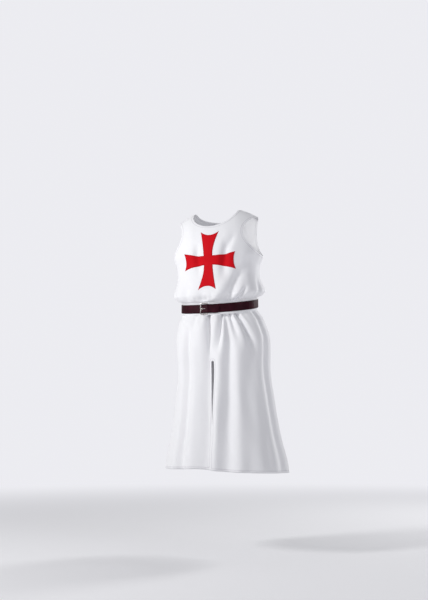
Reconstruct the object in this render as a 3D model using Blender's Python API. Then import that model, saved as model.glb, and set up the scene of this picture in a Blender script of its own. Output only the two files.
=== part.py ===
# A sleeveless belted tunic, as worn: front and back of cloth, a red cross on the chest, leather belt.
# Metres. The front faces -Y, +X is the wearer's left, and +Z is up.
# The origin is midway between the two points where the shoulder seams meet the neckline.
from collections import namedtuple

import bmesh
import bpy
import numpy as np
from mathutils import Matrix, Vector

# Cloth
CLOTH_WALL = 0.0018
SEAM_GAP = 0.0003
ROUNDNESS = 2.2  # exponent of the rings: 2 is an ellipse, more is squarer

# Neckline, shoulders and armholes, measured from the neck end of the shoulder seam
NECK_HALF_WIDTH = 0.110
FRONT_NECK_DEPTH = 0.100
BACK_NECK_DEPTH = 0.030
SHOULDER_DROP = 0.042
UNDERARM_HEIGHT = -0.228
SHOULDER_ROLL = 1.8  # exponent of the curve that rolls the chest back into the shoulder seam

# Armhole edge from the underarm to the shoulder's end, a cubic Bezier: share of the half width, and height
SHOULDER_SHARE = 0.925
UNDERARM = (1.00, UNDERARM_HEIGHT)
SHOULDER_END = (SHOULDER_SHARE, -SHOULDER_DROP)
ARMHOLE_CURVE = (UNDERARM, (0.90, -0.204), (0.44, -0.135), SHOULDER_END)
BACK_ARMHOLE_CURVE = (UNDERARM, (0.91, -0.202), (0.58, -0.135), SHOULDER_END)

# Belt and buckle
BELT_HEIGHT = -0.454
BELT_WIDTH = 0.040
BELT_THICKNESS = 0.0028
BELT_SEAT = 0.0004
TAIL_SEAT = 0.0040
TAIL_LENGTH = 0.072  # from the buckle's middle to the tip
TAIL_TIP = 0.014  # length of the rounded tip
TAIL_ROUNDING = 0.96
TAIL_CURVE = 2.4
RAMP_HALF = 0.012  # the strap climbs from its lower to its upper layer over twice this
BUCKLE_ANGLE = -9.5
BUCKLE_WIDTH = 0.036
BUCKLE_LENGTH = 0.054
BUCKLE_CORNER = 0.006  # radius of the path at the frame's corners
BAR_WIDTH = 0.0044
BAR_THICKNESS = 0.0032
OUTER_BAR_HEIGHT = 0.0048
HINGE_BAR_HEIGHT = 0.0016
PRONG_RADIUS = 0.0011
PRONG_WIDENING = 1.3  # the prong is this much wider than thick
PRONG_END_GAP = 0.0003
PRONG_REST = OUTER_BAR_HEIGHT + BAR_THICKNESS / 2 + PRONG_RADIUS + PRONG_END_GAP
# Distance along the strap from the buckle's middle, height over the belt's seat, share of the radius
PRONG_PATH = ((BUCKLE_WIDTH / 2 - BAR_WIDTH - PRONG_END_GAP, 0.0020, 1.0), (0.0115, 0.0028, 1.0),
              (0.0030, 0.0074, 1.0), (-0.0040, 0.0085, 1.0), (-0.0150, PRONG_REST, 0.95),
              (-0.0172, PRONG_REST, 0.60))
PRONG_HOLE = (0.0025, 0.0132)  # start and end along the strap, from the buckle's middle
PRONG_HOLE_WIDTH = 0.0038

# Slit at the centre of the skirt's front
SLIT_TOP = -0.720
SLIT_CLOSED = -0.990
SLIT_HALF_GAP = 0.0062
SLIT_OVERLAP = 0.005
SLIT_LIFT = 0.0048  # how far the wearer's left edge stands in front of the right one
SLIT_LIFT_ANGLE = 12.0
SLIT_ROUNDING = 0.020  # below its top the slit opens over this height
SLIT_LIFT_START = SLIT_TOP - 0.060
SLIT_CROSSING = (SLIT_CLOSED - 0.080, SLIT_CLOSED - 0.130)  # the edges come to overlap between these heights

# Cross on the chest
CROSS_HEIGHT = -0.268
CROSS_TILT = -1.4  # degrees, its top leans to the wearer's left
CROSS_HALF_WIDTH = 0.123
CROSS_HALF_HEIGHT = 0.138
CROSS_WAIST = 0.042
CROSS_SIDE_END = 0.078  # width of the ends of the side arms
CROSS_UPRIGHT_END = 0.087
CROSS_SIDE_HOLLOW = 0.009  # how far the ends of the side arms curve in
CROSS_UPRIGHT_HOLLOW = 0.018
CROSS_FLARE = 1.6
CROSS_THICKNESS = 0.0010
CROSS_PATCH_REACH = 0.160  # the piece of the front that the cross is cut from, up and down from its middle
CROSS_PATCH_ANGLE = 52.0

# Rings of the worn tunic. sideways moves a ring to +X; front_drop lowers its front and raises its back;
# left_drop lowers its +X side and raises the other.
Ring = namedtuple("Ring", "height half_width half_depth sideways front_drop left_drop")
RINGS = (
    Ring(-1.203, 0.284, 0.213, 0.032, 0.000, 0.010),
    Ring(-1.032, 0.252, 0.190, 0.028, 0.000, 0.006),
    Ring(-0.892, 0.232, 0.176, 0.025, 0.001, 0.003),
    Ring(-0.750, 0.218, 0.165, 0.022, 0.006, 0.000),
    Ring(-0.632, 0.222, 0.168, 0.020, 0.014, 0.000),
    Ring(-0.535, 0.204, 0.153, 0.010, 0.026, 0.000),
    Ring(-0.496, 0.185, 0.139, 0.005, 0.032, 0.000),
    Ring(-0.483, 0.178, 0.134, 0.004, 0.034, 0.000),
    Ring(-0.4255, 0.178, 0.134, 0.004, 0.034, 0.000),
    Ring(-0.421, 0.192, 0.145, 0.004, 0.034, 0.000),
    Ring(-0.410, 0.208, 0.157, 0.004, 0.033, 0.000),
    Ring(-0.397, 0.217, 0.164, 0.004, 0.030, 0.000),
    Ring(-0.380, 0.214, 0.162, 0.003, 0.024, 0.000),
    Ring(-0.358, 0.205, 0.155, 0.002, 0.016, 0.000),
    Ring(-0.319, 0.196, 0.148, 0.001, 0.008, 0.000),
    Ring(-0.280, 0.197, 0.149, 0.000, 0.002, 0.000),
    Ring(-0.228, 0.212, 0.159, 0.000, 0.000, 0.000),
    Ring(0.000, 0.212, 0.159, 0.000, 0.000, 0.000),
)

# Folds. A negative lift is a valley. Angles are pattern angles round the body: 0 is the centre of the
# front, 90 the wearer's left side seam, 180 the centre of the back.
# A fold comes in over top_fade below its top, and dies out over low_fade above its lower end.
Fold = namedtuple("Fold", "top_height low_height top_angle low_angle top_width low_width top_lift low_lift"
                          " top_fade low_fade")
BELOW_HEM = -1.300
FOLDS = (
    # skirt, front
    Fold(-0.481, -0.680, -5, -4, 0.011, 0.024, -0.015, -0.010, 0.020, 0.130),
    Fold(-0.481, -0.720, 16, 2, 0.010, 0.020, -0.015, -0.008, 0.020, 0.120),
    Fold(-0.490, -0.720, 18, 9, 0.010, 0.018, 0.006, 0.005, 0.030, 0.120),
    Fold(-0.481, -1.020, 20.5, 18, 0.013, 0.028, -0.014, -0.018, 0.020, 0.140),
    Fold(-0.880, BELOW_HEM, 18, 2, 0.028, 0.034, -0.018, -0.018, 0.140, 0.020),
    Fold(-0.640, BELOW_HEM, 9, -4, 0.016, 0.024, 0.006, 0.010, 0.100, 0.020),
    Fold(-0.481, -0.690, 30, 30, 0.011, 0.022, -0.014, -0.008, 0.020, 0.120),
    Fold(-0.481, -0.740, 43, 54, 0.013, 0.026, -0.018, -0.012, 0.020, 0.140),
    Fold(-0.620, BELOW_HEM, 50, 28, 0.024, 0.036, -0.009, -0.012, 0.120, 0.020),
    Fold(-0.600, BELOW_HEM, 31, 19, 0.022, 0.032, 0.006, 0.009, 0.120, 0.020),
    Fold(-0.530, BELOW_HEM, -37, -35, 0.024, 0.034, -0.008, -0.012, 0.100, 0.020),
    Fold(-0.600, BELOW_HEM, -8, -9, 0.022, 0.030, -0.008, -0.010, 0.100, 0.020),
    Fold(-0.600, BELOW_HEM, -27, -19, 0.024, 0.030, 0.005, 0.009, 0.100, 0.020),
    Fold(-0.481, -0.680, -24, -26, 0.012, 0.022, -0.009, -0.004, 0.020, 0.120),
    Fold(-0.481, -0.680, -50, -46, 0.014, 0.026, -0.012, -0.006, 0.020, 0.120),
    # skirt, sides and back
    Fold(-0.481, BELOW_HEM, 74, 76, 0.018, 0.036, -0.011, -0.016, 0.020, 0.020),
    Fold(-0.481, BELOW_HEM, -70, -70, 0.018, 0.036, -0.010, -0.014, 0.020, 0.020),
    Fold(-0.481, BELOW_HEM, 112, 108, 0.017, 0.036, -0.012, -0.018, 0.020, 0.020),
    Fold(-0.481, -0.860, 134, 140, 0.015, 0.030, -0.014, -0.010, 0.020, 0.200),
    Fold(-0.481, BELOW_HEM, 160, 154, 0.016, 0.036, -0.013, -0.020, 0.020, 0.020),
    Fold(-0.481, BELOW_HEM, 186, 188, 0.015, 0.034, -0.011, -0.015, 0.020, 0.020),
    Fold(-0.481, -0.820, 208, 204, 0.015, 0.030, -0.014, -0.010, 0.020, 0.200),
    Fold(-0.481, BELOW_HEM, 226, 230, 0.017, 0.036, -0.012, -0.018, 0.020, 0.020),
    Fold(-0.481, BELOW_HEM, 256, 252, 0.018, 0.036, -0.011, -0.016, 0.020, 0.020),
    # blouse over the belt
    Fold(-0.270, -0.427, 48, 29, 0.018, 0.017, -0.008, -0.018, 0.080, 0.014),
    Fold(-0.365, -0.427, 50, 39, 0.011, 0.010, -0.006, -0.013, 0.030, 0.012),
    Fold(-0.365, -0.427, -9, -10, 0.016, 0.024, -0.004, -0.013, 0.040, 0.014),
    Fold(-0.330, -0.427, -28, -34, 0.018, 0.020, -0.004, -0.009, 0.050, 0.014),
    Fold(-0.345, -0.427, -62, -58, 0.018, 0.018, -0.004, -0.009, 0.050, 0.014),
    Fold(-0.335, -0.427, 12, 10, 0.022, 0.026, 0.002, 0.006, 0.050, 0.014),
    Fold(-0.315, -0.427, 78, 70, 0.018, 0.018, -0.004, -0.010, 0.060, 0.014),
    Fold(-0.280, -0.427, 122, 132, 0.022, 0.020, -0.005, -0.013, 0.070, 0.014),
    Fold(-0.335, -0.427, 160, 156, 0.018, 0.018, -0.004, -0.011, 0.050, 0.014),
    Fold(-0.325, -0.427, 192, 196, 0.020, 0.018, -0.004, -0.012, 0.050, 0.014),
    Fold(-0.295, -0.427, 238, 226, 0.022, 0.020, -0.005, -0.012, 0.060, 0.014),
    Fold(-0.335, -0.427, 262, 266, 0.018, 0.018, -0.004, -0.010, 0.050, 0.014),
)

# Pattern angle of the column that ends at the neck point, where the neckline meets the shoulder seam
NECK_SHARE = NECK_HALF_WIDTH / (RINGS[-1].half_width * SHOULDER_SHARE)
NECK_ANGLE = float(np.degrees(np.arctan((NECK_SHARE**-ROUNDNESS - 1.0) ** (-1.0 / ROUNDNESS))))

# The grid. Columns are pattern angles, rows are heights, in spans of (from, to, number of steps).
Span = namedtuple("Span", "start end steps")
FRONT_COLUMNS = (Span(-90, -NECK_ANGLE, 9), Span(-NECK_ANGLE, 0, 8), Span(0, NECK_ANGLE, 11),
                 Span(NECK_ANGLE, 60, 6), Span(60, 90, 4))
BACK_COLUMNS = (Span(90, 180 - NECK_ANGLE, 7), Span(180 - NECK_ANGLE, 180 + NECK_ANGLE, 10),
                Span(180 + NECK_ANGLE, 270, 7))
SKIRT_ROWS = (Span(-1.203, SLIT_CLOSED, 4), Span(SLIT_CLOSED, SLIT_TOP - 0.014, 5),
              Span(SLIT_TOP - 0.014, SLIT_TOP, 1), Span(SLIT_TOP, -0.535, 6), Span(-0.535, -0.483, 4))
WAIST_ROWS = (Span(-0.4255, -0.410, 3), Span(-0.410, -0.358, 5), Span(-0.358, UNDERARM_HEIGHT, 5))
BACK_SKIRT_ROWS = (Span(-1.203, -0.535, 11), Span(-0.535, -0.483, 3))
BACK_WAIST_ROWS = (Span(-0.4255, -0.410, 2), Span(-0.410, -0.358, 4), Span(-0.358, UNDERARM_HEIGHT, 3))
CHEST_STEPS = 12
BACK_CHEST_STEPS = 9
CHEST_CROWDING = 1.5  # above 1, the rows crowd towards the shoulder


# Numbers along a line of spans, each end once
def spread(spans):
    values = [np.linspace(span.start, span.end, span.steps + 1) for span in spans]
    return np.unique(np.round(np.concatenate(values), 6))


# 0 at the start, 1 at the end, with a soft curve between
def ease(value, start, end):
    share = np.clip((value - start) / (end - start), 0.0, 1.0)
    return share * share * (3.0 - 2.0 * share)


# One column of RINGS read at any height: a smooth curve that never overshoots its rows
def ring_value(column, height):
    knots = np.array([ring.height for ring in RINGS])
    values = np.array([getattr(ring, column) for ring in RINGS])
    step = np.diff(knots)
    rise = np.diff(values) / step
    same_way = rise[:-1] * rise[1:] > 0
    total = np.where(same_way, rise[:-1] + rise[1:], 1.0)
    slope = np.zeros_like(values)
    slope[1:-1] = np.where(same_way, 2.0 * rise[:-1] * rise[1:] / total, 0.0)
    at = np.clip(np.searchsorted(knots, height) - 1, 0, len(step) - 1)
    share = np.clip((height - knots[at]) / step[at], 0.0, 1.0)
    blend = 3 * share**2 - 2 * share**3
    start_pull = share**3 - 2 * share**2 + share
    end_pull = share**3 - share**2
    pull = step[at] * (slope[at] * start_pull + slope[at + 1] * end_pull)
    return values[at] * (1 - blend) + values[at + 1] * blend + pull


# Point of the unit ring at a pattern angle: share of the half width, share of the half depth
def unit_ring(angle):
    across = np.sin(np.radians(angle))
    forward = np.cos(np.radians(angle))
    size = (np.abs(across) ** ROUNDNESS + np.abs(forward) ** ROUNDNESS) ** (-1.0 / ROUNDNESS)
    return across * size, forward * size


# Height of the shoulder seam at a distance from the centre plane
def shoulder_height(across):
    end = RINGS[-1].half_width * SHOULDER_SHARE
    share = np.clip((np.abs(across) - NECK_HALF_WIDTH) / (end - NECK_HALF_WIDTH), 0.0, 1.0)
    return -SHOULDER_DROP * share


# Height of a panel's upper edge at a distance from the centre plane: neckline, then shoulder seam
def top_height(across, neck_depth):
    inside = np.clip(1.0 - (across / NECK_HALF_WIDTH) ** 2, 0.0, 1.0)
    return shoulder_height(across) - neck_depth * np.sqrt(inside)


# Point of an armhole curve at a share of its way up
def armhole_point(curve, way):
    weights = ((1 - way) ** 3, 3 * way * (1 - way) ** 2, 3 * way**2 * (1 - way), way**3)
    share = sum(weight * point[0] for weight, point in zip(weights, curve))
    height = sum(weight * point[1] for weight, point in zip(weights, curve))
    return share, height


# How far the folds move the cloth out at each angle and height
def fold_lift(angle, height):
    lift = np.zeros_like(height)
    radius = (ring_value("half_width", height) + ring_value("half_depth", height)) / 2
    for fold in FOLDS:
        along = np.clip((fold.top_height - height) / (fold.top_height - fold.low_height), 0.0, 1.0)
        middle = fold.top_angle + (fold.low_angle - fold.top_angle) * along
        width = fold.top_width + (fold.low_width - fold.top_width) * along
        depth = fold.top_lift + (fold.low_lift - fold.top_lift) * along
        turn = (angle - middle + 180.0) % 360.0 - 180.0
        away = np.radians(turn) * radius / width
        low = ease(height, fold.low_height, fold.low_height + fold.low_fade)
        top = ease(-height, -fold.top_height, fold.top_fade - fold.top_height)
        lift += depth * np.exp(-away * away) * low * top
    return lift


# Places of the cloth's outer face. angle runs round the body, share is the point's share of the half width
# and height its level before the drops; side is -1 on the front and 1 on the back. The ring's depth shrinks
# to nothing at the shoulder seam.
def cloth_point(angle, share, height, side):
    half_width = ring_value("half_width", height)
    half_depth = ring_value("half_depth", height)
    depth_share = np.clip(1.0 - np.abs(share) ** ROUNDNESS, 0.0, 1.0) ** (1.0 / ROUNDNESS)
    climb = (height - UNDERARM_HEIGHT) / (shoulder_height(share * half_width) - UNDERARM_HEIGHT)
    roll = (1.0 - np.clip(climb, 0.0, 1.0) ** SHOULDER_ROLL) ** (1.0 / SHOULDER_ROLL)
    out_x = np.sign(share) * np.abs(share) ** (ROUNDNESS - 1) / half_width
    out_y = side * depth_share ** (ROUNDNESS - 1) / half_depth
    out_size = np.hypot(out_x, out_y)
    lift = fold_lift(angle, height)
    x = share * half_width + ring_value("sideways", height) + lift * out_x / out_size
    y = side * (half_depth * depth_share * roll + SEAM_GAP / 2) + lift * out_y / out_size
    z = height + ring_value("front_drop", height) * y / half_depth - ring_value("left_drop", height) * share
    return np.stack([x, y, z], axis=-1)


# Grid of a panel's outer face, rows from the hem up to the panel's upper edge. Above the underarm the outer
# columns follow the armhole, and each row keeps its share of the way up.
def panel_grid(angles, rows, chest_steps, neck_depth, armhole, side):
    ring_share = unit_ring(angles)[0]
    way = 1.0 - (1.0 - np.arange(1, chest_steps + 1) / chest_steps) ** CHEST_CROWDING
    edge_share, edge_height = armhole_point(armhole, way)
    climb = (edge_height - UNDERARM_HEIGHT) / (-SHOULDER_DROP - UNDERARM_HEIGHT)
    top = top_height(ring_share * SHOULDER_SHARE * RINGS[-1].half_width, neck_depth)
    flat = np.repeat(rows[:, None], len(angles), axis=1)
    heights = np.vstack([flat, UNDERARM_HEIGHT + climb[:, None] * (top - UNDERARM_HEIGHT)])
    narrowing = np.concatenate([np.ones(len(rows)), edge_share])
    shares = narrowing[:, None] * ring_share
    return cloth_point(np.broadcast_to(angles, heights.shape), shares, heights, side)


# Unit normals of a grid of points, outwards for rows that rise and columns that run to +X on the front
def grid_normals(grid):
    across = np.gradient(grid, axis=1)
    upward = np.gradient(grid, axis=0)
    normal = np.cross(across, upward)
    return normal / np.linalg.norm(normal, axis=-1, keepdims=True)


# Seam points keep their wall in the seam's own plane
def flatten_at_seams(normal, angles, centre, chest_steps):
    shoulder = np.abs(angles - centre) >= NECK_ANGLE - 1e-4
    normal[:-chest_steps, [0, -1], 1] = 0.0
    normal[-1, shoulder, 1] = 0.0
    return normal / np.linalg.norm(normal, axis=-1, keepdims=True)


# Closed wall between two matching grids. number gives each grid place its point, so two may share one.
# The faces are triangles, so that a wall and what lies on it bend along the same lines.
def wall_object(name, outer, inner, number, skip_column, material):
    used, number = np.unique(number, return_inverse=True)
    number = number.reshape(outer.shape[:2])
    points = np.vstack([outer.reshape(-1, 3)[used], inner.reshape(-1, 3)[used]])
    count = len(used)
    outside = []
    for row in range(outer.shape[0] - 1):
        for column in range(outer.shape[1] - 1):
            if column != skip_column:
                a, b, d, c = number[row:row + 2, column:column + 2].ravel()
                outside += [(a, b, c), (a, c, d)]
    edges = {(face[i], face[(i + 1) % 3]) for face in outside for i in range(3)}
    rims = [(b, a, a + count, b + count) for a, b in edges if (b, a) not in edges]
    inside = [tuple(corner + count for corner in reversed(face)) for face in outside]
    faces = [tuple(int(corner) for corner in face) for face in outside + inside + sorted(rims)]
    return new_object(name, points, faces, material)


def new_object(name, points, faces, material):
    mesh = bpy.data.meshes.new(name)
    mesh.from_pydata([tuple(map(float, point)) for point in points], [], faces)
    mesh.validate()
    mesh.shade_smooth()
    mesh.set_sharp_from_angle(angle=np.radians(50))
    made = bpy.data.objects.new(name, mesh)
    bpy.context.collection.objects.link(made)
    if material:
        mesh.materials.append(material)
    return made


def new_material(name, color, roughness, metallic=0.0):
    material = bpy.data.materials.new(name)
    material.use_nodes = True
    shader = material.node_tree.nodes["Principled BSDF"]
    shader.inputs["Base Color"].default_value = (*color, 1.0)
    shader.inputs["Roughness"].default_value = roughness
    shader.inputs["Metallic"].default_value = metallic
    return material


# Front: the centre column is there twice, and the two stand apart from the top of the slit down
def front_grids():
    angles = spread(FRONT_COLUMNS)
    rows = np.concatenate([spread(SKIRT_ROWS), spread(WAIST_ROWS)])
    grid = panel_grid(angles, rows, CHEST_STEPS, FRONT_NECK_DEPTH, ARMHOLE_CURVE, -1)
    centre = int(np.argmin(np.abs(angles)))
    right, left = grid[:, :centre + 1].copy(), grid[:, centre:].copy()
    height = np.append(rows, np.full(CHEST_STEPS, rows[-1]))
    opening = ease(-height, -SLIT_TOP, SLIT_ROUNDING - SLIT_TOP)
    closing = ease(-height, -SLIT_TOP, -SLIT_CLOSED)
    closed = ease(-height, -SLIT_CROSSING[0], -SLIT_CROSSING[1])
    half_gap = SLIT_HALF_GAP * opening * (1 - closing) + SEAM_GAP * (height < SLIT_TOP - 1e-6)
    right[:, -1, 0] -= half_gap
    left[:, 0, 0] += half_gap - (SLIT_OVERLAP + SEAM_GAP) * closed
    fade = np.exp(-(angles[centre:] / SLIT_LIFT_ANGLE) ** 2)
    left[:, :, 1] -= SLIT_LIFT * ease(-height, -SLIT_LIFT_START, -SLIT_CLOSED)[:, None] * fade
    return angles, height, centre, right, left


def make_front(material):
    angles, height, centre, right, left = front_grids()
    normals = [grid_normals(right), grid_normals(left)]
    whole = height >= SLIT_TOP - 1e-6
    shared = normals[0][whole, -1] + normals[1][whole, 0]
    normals[0][whole, -1] = shared
    normals[1][whole, 0] = shared
    outer = np.concatenate([right, left], axis=1)
    double_angles = np.concatenate([angles[:centre + 1], angles[centre:]])
    normal = flatten_at_seams(np.concatenate(normals, axis=1), double_angles, 0, CHEST_STEPS)
    number = np.arange(outer.shape[0] * outer.shape[1]).reshape(outer.shape[:2])
    number[whole, centre + 1] = number[whole, centre]
    wall_object("front_panel", outer, outer - CLOTH_WALL * normal, number, centre, material)
    return outer, normal, double_angles, centre


def make_back(material):
    angles = spread(BACK_COLUMNS)
    rows = np.concatenate([spread(BACK_SKIRT_ROWS), spread(BACK_WAIST_ROWS)])
    outer = panel_grid(angles, rows, BACK_CHEST_STEPS, BACK_NECK_DEPTH, BACK_ARMHOLE_CURVE, 1)
    normal = flatten_at_seams(grid_normals(outer), angles, 180, BACK_CHEST_STEPS)
    number = np.arange(outer.shape[0] * outer.shape[1]).reshape(outer.shape[:2])
    wall_object("back_panel", outer, outer - CLOTH_WALL * normal, number, None, material)


# Outline of the cross in the front plane: four arms that widen in a curve to hollow ends
def cross_outline():
    steps = np.linspace(0.0, 1.0, 6)
    points = []
    side_arm = (CROSS_HALF_WIDTH, CROSS_SIDE_END, CROSS_SIDE_HOLLOW)
    upright_arm = (CROSS_HALF_HEIGHT, CROSS_UPRIGHT_END, CROSS_UPRIGHT_HOLLOW)
    for turn in range(4):
        reach, end, depth = (side_arm, upright_arm)[turn % 2]
        along = CROSS_WAIST / 2 + steps * (reach - CROSS_WAIST / 2)
        half = CROSS_WAIST / 2 + steps**CROSS_FLARE * (end - CROSS_WAIST) / 2
        across = np.linspace(-end / 2, end / 2, 7)[1:-1]
        hollow = reach - depth * (1 - (2 * across / end) ** 2)
        arm = list(zip(along, -half)) + list(zip(hollow, across)) + list(zip(along[::-1], half[::-1]))
        angle = turn * np.pi / 2 + np.radians(CROSS_TILT)
        for forward, sideways in arm[:-1]:
            points.append((forward * np.cos(angle) - sideways * np.sin(angle),
                           forward * np.sin(angle) + sideways * np.cos(angle)))
    return points


# Cross: a patch of the front panel's own grid, moved out from it and cut to the outline
def make_cross(outer, normal, angles, centre, material):
    level = outer[:, centre, 2] - CROSS_HEIGHT
    rows = np.flatnonzero((level > -CROSS_PATCH_REACH) & (level < CROSS_PATCH_REACH))
    columns = np.flatnonzero(np.abs(angles) < CROSS_PATCH_ANGLE)
    columns = columns[columns != centre + 1]
    patch = outer[rows[0]:rows[-1] + 1, columns]
    out = normal[rows[0]:rows[-1] + 1, columns]
    number = np.arange(patch.shape[0] * patch.shape[1]).reshape(patch.shape[:2])
    base = patch + SEAM_GAP * out
    cross = wall_object("cross", base + CROSS_THICKNESS * out, base, number, None, material)
    outline = cross_outline()
    count = len(outline)
    points = [(x, y, z + CROSS_HEIGHT) for y in (-0.30, -0.05) for x, z in outline]
    faces = [tuple(range(count)), tuple(range(2 * count - 1, count - 1, -1))]
    faces += [(i + count, (i + 1) % count + count, (i + 1) % count, i) for i in range(count)]
    cutter = new_object("cross_outline", points, faces, None)
    cutter.hide_render = True
    cutter.display_type = "WIRE"
    cut = cross.modifiers.new("outline", "BOOLEAN")
    cut.operation = "INTERSECT"
    cut.solver = "EXACT"
    cut.object = cutter


# Point of the belt's seat on the cloth, read along the straight sides between the panels' columns
def belt_seat(angle, height):
    corners = np.append(np.unique(np.concatenate([spread(FRONT_COLUMNS), spread(BACK_COLUMNS)])), 270.0)
    side = np.where(np.abs(corners) <= 90.0, -1, 1)
    ring = cloth_point(corners, unit_ring(corners)[0], np.full(len(corners), BELT_HEIGHT), side)
    turn = (angle + 90.0) % 360.0 - 90.0
    x = np.interp(turn, corners, ring[:, 0])
    y = np.interp(turn, corners, np.where(np.abs(ring[:, 1]) < SEAM_GAP, 0.0, ring[:, 1]))
    z = height + ring_value("front_drop", BELT_HEIGHT) * y / ring_value("half_depth", BELT_HEIGHT)
    return np.stack([x, y, z], axis=-1)


# Outward direction of the belt at a pattern angle
def belt_outward(angle):
    share, depth_share = unit_ring(angle)
    half_width, half_depth = ring_value("half_width", BELT_HEIGHT), ring_value("half_depth", BELT_HEIGHT)
    x = np.sign(share) * np.abs(share) ** (ROUNDNESS - 1) / half_width
    y = -np.sign(depth_share) * np.abs(depth_share) ** (ROUNDNESS - 1) / half_depth
    out = np.stack([x, y, np.zeros_like(x)], axis=-1)
    return out / np.linalg.norm(out, axis=-1, keepdims=True)


# Pattern angle at a distance along the strap from the buckle's middle
def angle_along_belt(distance):
    metre = np.linalg.norm(belt_seat(np.array(BUCKLE_ANGLE + 1.0), BELT_HEIGHT)
                           - belt_seat(np.array(BUCKLE_ANGLE - 1.0), BELT_HEIGHT)) / 2.0
    return BUCKLE_ANGLE + distance / metre


# Strap: one strip that starts at the hinge bar, goes once round, passes under the outer bar of the buckle,
# climbs over the hinge bar and ends as a rounded tail on top of its own start
def make_strap(material):
    start = angle_along_belt(BUCKLE_WIDTH / 2 + 0.0008)
    ramp = angle_along_belt(np.array([-RAMP_HALF, RAMP_HALF])) + 360.0
    tip_start = angle_along_belt(TAIL_LENGTH - TAIL_TIP) + 360.0
    tip = np.linspace(0.0, 1.0, 5)
    tip_end = angle_along_belt(TAIL_LENGTH) + 360.0
    corners = np.unique(np.concatenate([spread(FRONT_COLUMNS), spread(BACK_COLUMNS)]))
    corners = np.concatenate([corners, corners + 360.0])
    stations = np.concatenate([[start], ramp, tip_start + tip * (tip_end - tip_start),
                               corners[(corners > start + 0.8) & (corners < tip_start - 0.8)]])
    stations = np.unique(np.round(stations, 4))
    seat = np.interp(stations, ramp, [BELT_SEAT, TAIL_SEAT])
    tip_share = np.clip((stations - tip_start) / (tip_end - tip_start), 0, 1)
    half = BELT_WIDTH / 2 * np.sqrt(1.0 - TAIL_ROUNDING * tip_share**TAIL_CURVE)
    out = belt_outward(stations)
    sides = []
    for level, rise in ((-1, 0), (1, 0), (1, 1), (-1, 1)):
        base = belt_seat(stations, BELT_HEIGHT)
        base[:, 2] += level * half
        sides.append(base + (seat + rise * BELT_THICKNESS)[:, None] * out)
    strap = tube_object("belt_strap", np.stack(sides, axis=1), False, material)
    length = PRONG_HOLE[1] - PRONG_HOLE[0]
    cutter = box_object("prong_hole", (length, 0.020, PRONG_HOLE_WIDTH))
    middle = sum(PRONG_HOLE) / 2
    cutter.matrix_world = buckle_frame_matrix() @ Matrix.Translation((middle, 0, 0))
    cutter.hide_render = True
    cutter.display_type = "WIRE"
    cut = strap.modifiers.new("prong hole", "BOOLEAN")
    cut.operation = "DIFFERENCE"
    cut.solver = "EXACT"
    cut.object = cutter


# Closed skin round a row of sections; a loop joins its last section to its first
def tube_object(name, sections, loop, material):
    count, sides = sections.shape[:2]
    faces = []
    for station in range(count if loop else count - 1):
        ahead = (station + 1) % count
        for side in range(sides):
            turn = (side + 1) % sides
            here, there = station * sides, ahead * sides
            faces.append((here + side, there + side, there + turn, here + turn))
    if not loop:
        faces.append(tuple(range(sides)))
        faces.append(tuple(range(count * sides - 1, (count - 1) * sides - 1, -1)))
    made = new_object(name, sections.reshape(-1, 3), faces, material)
    mesh = bmesh.new()
    mesh.from_mesh(made.data)
    bmesh.ops.recalc_face_normals(mesh, faces=mesh.faces)
    mesh.to_mesh(made.data)
    mesh.free()
    return made


def box_object(name, size):
    mesh = bmesh.new()
    bmesh.ops.create_cube(mesh, size=1.0, matrix=Matrix.Diagonal((*size, 1.0)))
    data = bpy.data.meshes.new(name)
    mesh.to_mesh(data)
    mesh.free()
    made = bpy.data.objects.new(name, data)
    bpy.context.collection.objects.link(made)
    return made


# Places beside the buckle: X along the strap to the wearer's left, Y inwards to the body, Z up across it
def buckle_frame_matrix():
    middle = Vector(belt_seat(np.array(BUCKLE_ANGLE), BELT_HEIGHT))
    ahead = Vector(belt_seat(np.array(BUCKLE_ANGLE + 1.0), BELT_HEIGHT))
    behind = Vector(belt_seat(np.array(BUCKLE_ANGLE - 1.0), BELT_HEIGHT))
    along = (ahead - behind).normalized()
    inward = -Vector(belt_outward(np.array(BUCKLE_ANGLE)))
    up = along.cross(inward).normalized()
    inward = up.cross(along).normalized()
    turn = Matrix((along, inward, up)).transposed().to_4x4()
    return Matrix.Translation(middle) @ turn


# Frame: an oval bar carried round a rectangle with rounded corners, tilted so that it dips at the hinge bar
def make_buckle_frame(material):
    half_x = (BUCKLE_WIDTH - BAR_WIDTH) / 2
    half_z = (BUCKLE_LENGTH - BAR_WIDTH) / 2
    path = []
    for turn, (sx, sz) in enumerate(((1, 1), (-1, 1), (-1, -1), (1, -1))):
        for step in np.linspace(0, np.pi / 2, 5):
            angle = turn * np.pi / 2 + step
            out = np.array([np.cos(angle), np.sin(angle)])
            corner = np.array([sx * (half_x - BUCKLE_CORNER), sz * (half_z - BUCKLE_CORNER)])
            path.append((corner + BUCKLE_CORNER * out, out))
    slope = (OUTER_BAR_HEIGHT - HINGE_BAR_HEIGHT) / (2 * half_x)
    middle = (OUTER_BAR_HEIGHT + HINGE_BAR_HEIGHT) / 2
    around = np.linspace(0, 2 * np.pi, 8, endpoint=False)
    sections = []
    for (x, z), (out_x, out_z) in path:
        wide = np.cos(around) * BAR_WIDTH / 2
        thick = np.sin(around) * BAR_THICKNESS / 2
        px = x + wide * out_x
        sections.append(np.stack([px, -(middle - slope * px) - thick, z + wide * out_z], axis=-1))
    frame = tube_object("buckle_frame", np.array(sections), True, material)
    frame.data.transform(buckle_frame_matrix())


# Prong: a round bar from the hinge bar, up through the strap, to rest on the outer bar
def make_prong(material):
    around = np.linspace(0, 2 * np.pi, 8, endpoint=False)
    sections = []
    for along, rise, size in PRONG_PATH:
        radius = PRONG_RADIUS * size
        thick = rise + radius * np.sin(around)
        wide = PRONG_WIDENING * radius * np.cos(around)
        sections.append(np.stack([np.full(8, along), -thick, wide], axis=-1))
    prong = tube_object("buckle_prong", np.array(sections), False, material)
    prong.data.transform(buckle_frame_matrix())


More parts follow.
